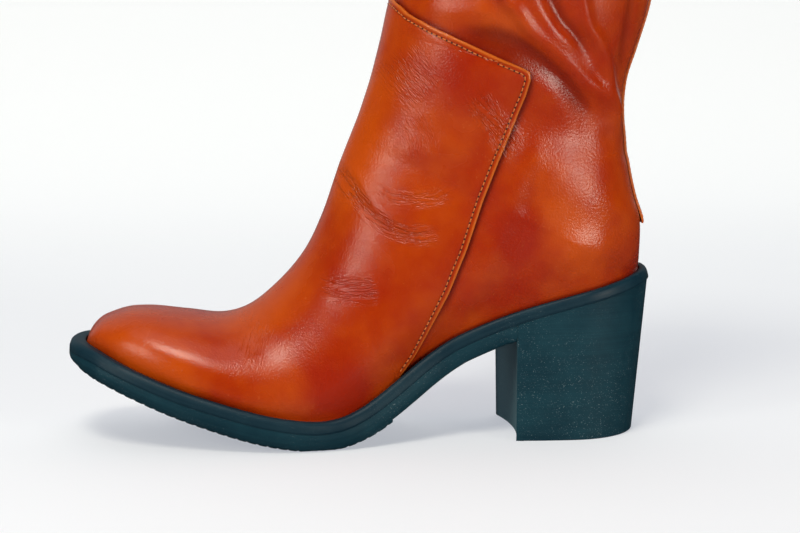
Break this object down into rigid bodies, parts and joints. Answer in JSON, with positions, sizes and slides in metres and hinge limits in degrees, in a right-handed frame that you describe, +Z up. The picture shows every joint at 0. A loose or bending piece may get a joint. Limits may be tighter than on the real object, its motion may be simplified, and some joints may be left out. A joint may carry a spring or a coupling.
{
  "type": "leather boot",
  "caption": "Left pull-on leather boot with a blunt toe, a raised front panel, a tall plain shaft and a rubber sole unit on a high block heel.",
  "frame": {"origin": "on the floor, below the middle of the box round the boot", "axes": "+X towards the heel, +Y towards the inner side of the foot, +Z up the shaft"},
  "size_m": [0.2507, 0.09, 0.2839],
  "materials": {
    "leather": "fine grained cognac leather, satin gloss",
    "panel_leather": "fine grained cognac leather with a raw cut edge",
    "rim_rubber": "matt dark rubber",
    "sole_rubber": "matt dark rubber with fine brushed lines and dust",
    "lining": "pale tan lining leather",
    "thread": "waxed stitching thread"
  },
  "bodies": {
    "root": {"upper": "leather", "front_panel": "panel_leather", "back_strip": "leather", "midsole": "rim_rubber", "outsole": "sole_rubber", "heel": "sole_rubber", "insole": "lining"}
  },
  "joints": []
}
